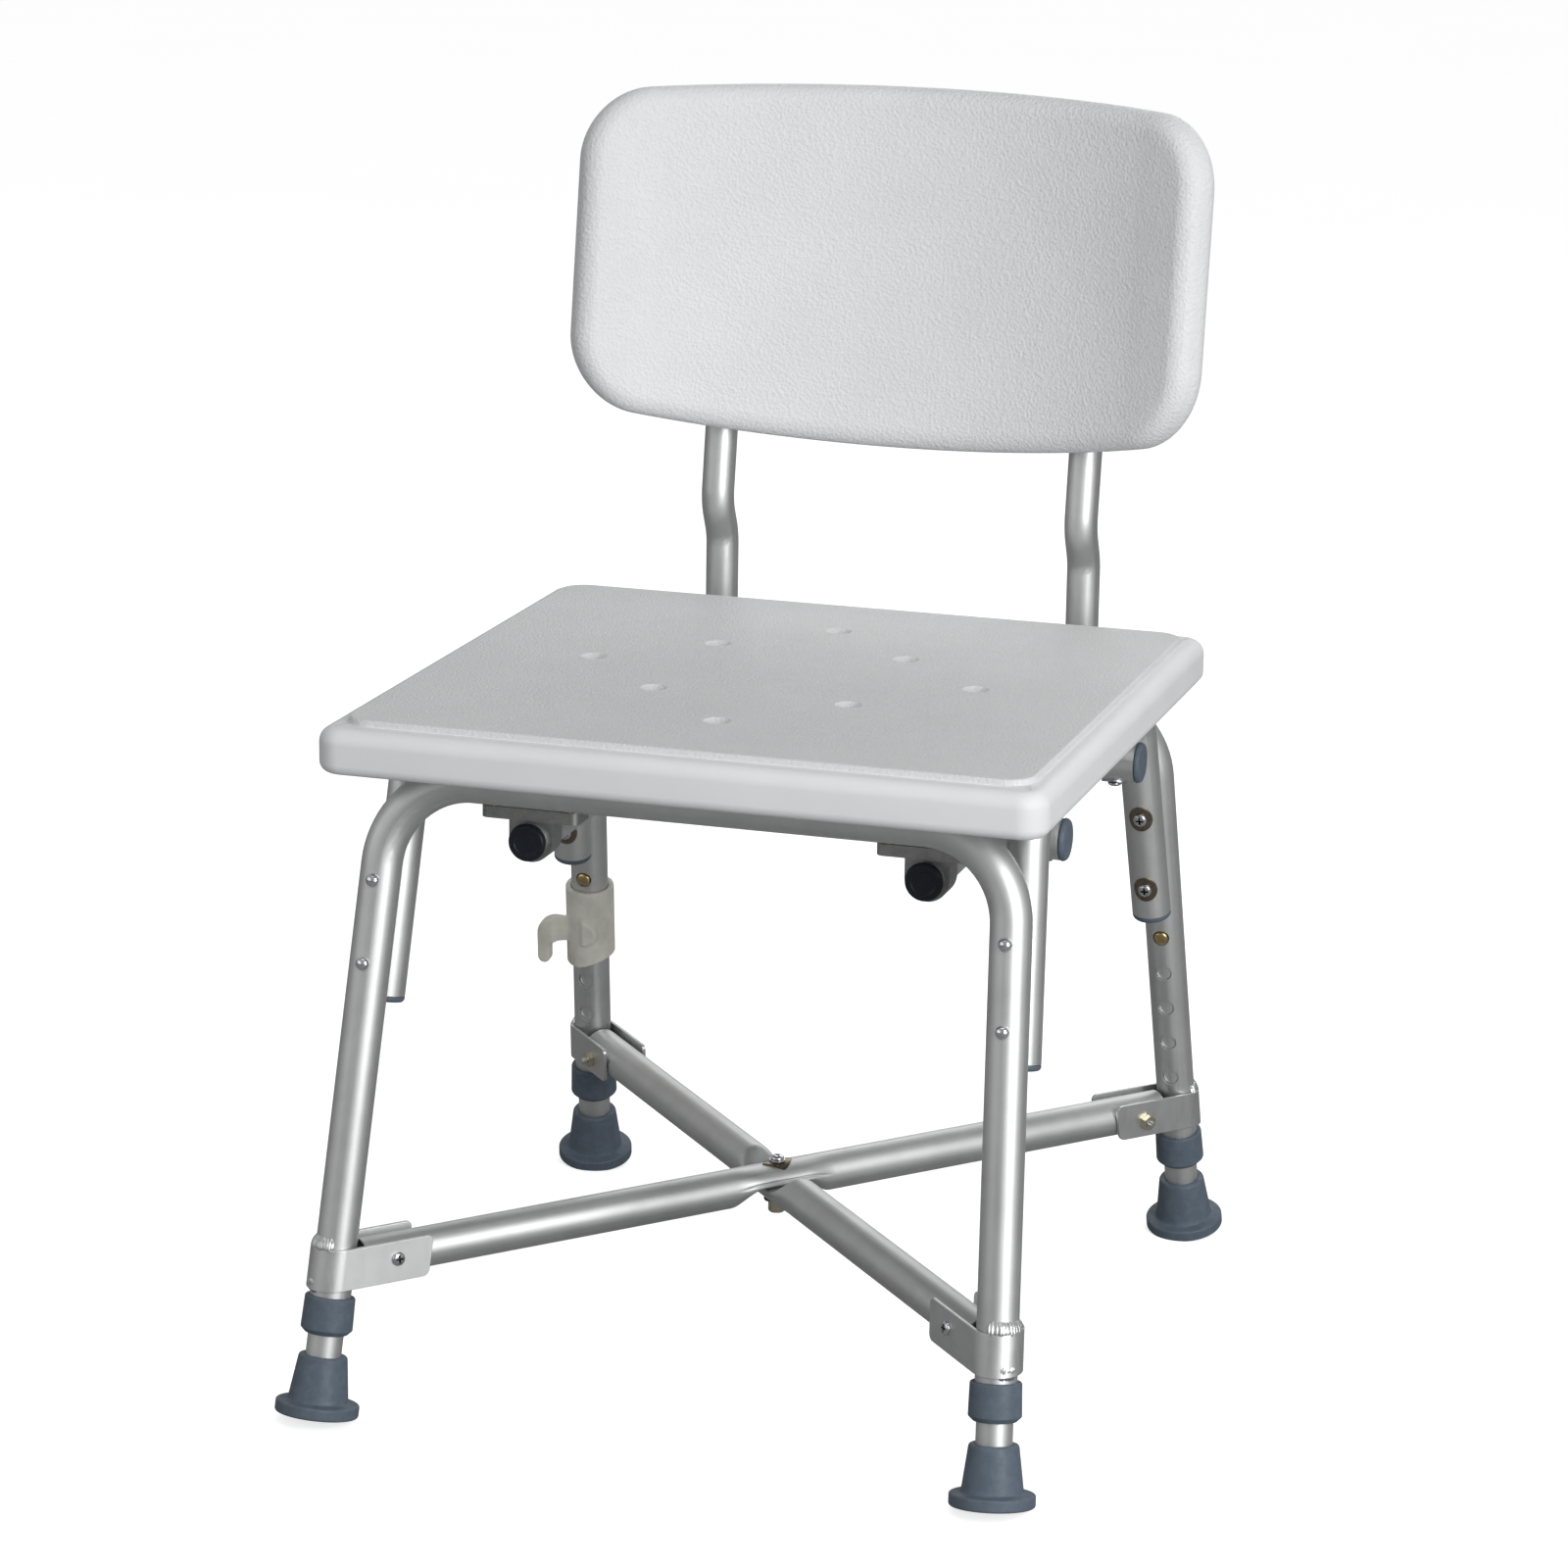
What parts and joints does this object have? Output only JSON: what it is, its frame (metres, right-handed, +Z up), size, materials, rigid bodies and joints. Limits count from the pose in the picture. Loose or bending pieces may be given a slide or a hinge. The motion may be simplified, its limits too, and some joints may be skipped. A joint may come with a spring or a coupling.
{
  "type": "shower chair",
  "caption": "Shower chair with a moulded seat and curved backrest on a splayed aluminium tube frame, height-adjustable legs, crossed brace, flared rubber feet and a hose hook.",
  "frame": {"origin": "on the floor, under the middle of the chair's bounding box", "axes": "+Z up, -Y the front (the side the sitter faces), +Y towards the backrest, +X the viewer's right from the front"},
  "size_m": [0.481, 0.592, 0.7695],
  "materials": {
    "seat": "white blow-moulded HDPE, pebbled grain",
    "backrest": "white blow-moulded HDPE, pebbled grain",
    "front_leg_frame": "satin anodised",
    "rear_leg_frame": "satin anodised",
    "left_side_frame": "satin anodised",
    "right_side_frame": "satin anodised",
    "front_cross_tube": "satin anodised",
    "front_cross_tube_plug_left": "slate grey",
    "front_post_bracket_left": "cast, fine matt texture",
    "front_cross_tube_plug_right": "slate grey",
    "front_post_bracket_right": "cast, fine matt texture",
    "rear_cross_tube": "satin anodised",
    "rear_cross_tube_plug_left": "slate grey",
    "rear_post_bracket_left": "cast, fine matt texture",
    "rear_cross_tube_plug_right": "slate grey",
    "rear_post_bracket_right": "cast, fine matt texture",
    "left_back_post": "satin anodised",
    "left_back_post_plug": "near-black",
    "right_back_post": "satin anodised",
    "right_back_post_plug": "near-black",
    "side_plug_front_left": "slate grey",
    "leg_extension_front_left": "satin anodised",
    "height_button_front_left": "polished",
    "leg_collar_front_left": "slate grey",
    "foot_front_left": "slate grey, ringed",
    "frame_bolt_front_left_upper": "bright zinc plate",
    "frame_bolt_front_left_lower": "bright zinc plate",
    "brace_clevis_front_left": "satin, welded",
    "clevis_bolt_front_left": "bright zinc plate",
    "side_plug_front_right": "slate grey",
    "leg_extension_front_right": "satin anodised",
    "height_button_front_right": "polished",
    "leg_collar_front_right": "slate grey",
    "foot_front_right": "slate grey, ringed",
    "frame_bolt_front_right_upper": "bright zinc plate",
    "frame_bolt_front_right_lower": "bright zinc plate",
    "brace_clevis_front_right": "satin, welded",
    "clevis_bolt_front_right": "bright zinc plate",
    "side_plug_rear_left": "slate grey",
    "leg_extension_rear_left": "satin anodised",
    "height_button_rear_left": "polished",
    "leg_collar_rear_left": "slate grey",
    "foot_rear_left": "slate grey, ringed",
    "frame_bolt_rear_left_upper": "bright zinc plate",
    "frame_bolt_rear_left_lower": "bright zinc plate",
    "brace_clevis_rear_left": "satin, welded",
    "clevis_bolt_rear_left": "bright zinc plate",
    "side_plug_rear_right": "slate grey",
    "leg_extension_rear_right": "satin anodised",
    "height_button_rear_right": "polished",
    "leg_collar_rear_right": "slate grey",
    "foot_rear_right": "slate grey, ringed",
    "frame_bolt_rear_right_upper": "bright zinc plate",
    "frame_bolt_rear_right_lower": "bright zinc plate",
    "brace_clevis_rear_right": "satin, welded",
    "clevis_bolt_rear_right": "bright zinc plate",
    "brace_over": "satin anodised",
    "brace_under": "satin anodised",
    "brace_centre_bolt": "bright zinc plate",
    "hose_hook": "milky off-white"
  },
  "bodies": {
    "frame": {"seat": "seat", "backrest": "backrest", "front_leg_frame": "front_leg_frame", "rear_leg_frame": "rear_leg_frame", "left_side_frame": "left_side_frame", "right_side_frame": "right_side_frame", "front_cross_tube": "front_cross_tube", "front_cross_tube_plug_left": "front_cross_tube_plug_left", "front_post_bracket_left": "front_post_bracket_left", "front_cross_tube_plug_right": "front_cross_tube_plug_right", "front_post_bracket_right": "front_post_bracket_right", "rear_cross_tube": "rear_cross_tube", "rear_cross_tube_plug_left": "rear_cross_tube_plug_left", "rear_post_bracket_left": "rear_post_bracket_left", "rear_cross_tube_plug_right": "rear_cross_tube_plug_right", "rear_post_bracket_right": "rear_post_bracket_right", "left_back_post": "left_back_post", "left_back_post_plug": "left_back_post_plug", "right_back_post": "right_back_post", "right_back_post_plug": "right_back_post_plug", "side_plug_front_left": "side_plug_front_left", "leg_collar_front_left": "leg_collar_front_left", "frame_bolt_front_left_upper": "frame_bolt_front_left_upper", "frame_bolt_front_left_lower": "frame_bolt_front_left_lower", "brace_clevis_front_left": "brace_clevis_front_left", "clevis_bolt_front_left": "clevis_bolt_front_left", "side_plug_front_right": "side_plug_front_right", "leg_collar_front_right": "leg_collar_front_right", "frame_bolt_front_right_upper": "frame_bolt_front_right_upper", "frame_bolt_front_right_lower": "frame_bolt_front_right_lower", "brace_clevis_front_right": "brace_clevis_front_right", "clevis_bolt_front_right": "clevis_bolt_front_right", "side_plug_rear_left": "side_plug_rear_left", "leg_collar_rear_left": "leg_collar_rear_left", "frame_bolt_rear_left_upper": "frame_bolt_rear_left_upper", "frame_bolt_rear_left_lower": "frame_bolt_rear_left_lower", "brace_clevis_rear_left": "brace_clevis_rear_left", "clevis_bolt_rear_left": "clevis_bolt_rear_left", "side_plug_rear_right": "side_plug_rear_right", "leg_collar_rear_right": "leg_collar_rear_right", "frame_bolt_rear_right_upper": "frame_bolt_rear_right_upper", "frame_bolt_rear_right_lower": "frame_bolt_rear_right_lower", "brace_clevis_rear_right": "brace_clevis_rear_right", "clevis_bolt_rear_right": "clevis_bolt_rear_right", "brace_over": "brace_over", "brace_under": "brace_under", "brace_centre_bolt": "brace_centre_bolt"},
    "extension_front_left": {"leg_extension_front_left": "leg_extension_front_left", "foot_front_left": "foot_front_left"},
    "button_front_left": {"height_button_front_left": "height_button_front_left"},
    "extension_front_right": {"leg_extension_front_right": "leg_extension_front_right", "foot_front_right": "foot_front_right"},
    "button_front_right": {"height_button_front_right": "height_button_front_right"},
    "extension_rear_left": {"leg_extension_rear_left": "leg_extension_rear_left", "foot_rear_left": "foot_rear_left"},
    "button_rear_left": {"height_button_rear_left": "height_button_rear_left"},
    "extension_rear_right": {"leg_extension_rear_right": "leg_extension_rear_right", "foot_rear_right": "foot_rear_right"},
    "button_rear_right": {"height_button_rear_right": "height_button_rear_right"},
    "hook": {"hose_hook": "hose_hook"}
  },
  "joints": [
    {"name": "leg_height_front_left", "type": "slide", "parent": "frame", "child": "extension_front_left", "axis": [-0.0481, -0.2119, -0.9761], "range_m": [0, 0.106]},
    {"name": "leg_height_front_right", "type": "slide", "parent": "frame", "child": "extension_front_right", "axis": [0.0481, -0.2119, -0.9761], "range_m": [0, 0.106]},
    {"name": "leg_height_rear_left", "type": "slide", "parent": "frame", "child": "extension_rear_left", "axis": [-0.0481, 0.2055, -0.9775], "range_m": [0, 0.106]},
    {"name": "leg_height_rear_right", "type": "slide", "parent": "frame", "child": "extension_rear_right", "axis": [0.0481, 0.2055, -0.9775], "range_m": [0, 0.106]},
    {"name": "button_press_front_left", "type": "slide", "parent": "extension_front_left", "child": "button_front_left", "axis": [0.0104, -0.9773, 0.2116], "range_m": [0, 0.004], "stiffness_N_per_m": 500},
    {"name": "button_press_front_right", "type": "slide", "parent": "extension_front_right", "child": "button_front_right", "axis": [-0.0104, -0.9773, 0.2116], "range_m": [0, 0.004], "stiffness_N_per_m": 500},
    {"name": "button_press_rear_left", "type": "slide", "parent": "extension_rear_left", "child": "button_rear_left", "axis": [0.0101, 0.9787, 0.2052], "range_m": [0, 0.004], "stiffness_N_per_m": 500},
    {"name": "button_press_rear_right", "type": "slide", "parent": "extension_rear_right", "child": "button_rear_right", "axis": [-0.0101, 0.9787, 0.2052], "range_m": [0, 0.004], "stiffness_N_per_m": 500},
    {"name": "hook_swivel", "type": "hinge", "parent": "frame", "child": "hook", "pos_m": [-0.20599, 0.20542, 0.187], "axis": [0.0481, -0.2055, 0.9775], "range_deg": [-80, 60]}
  ]
}
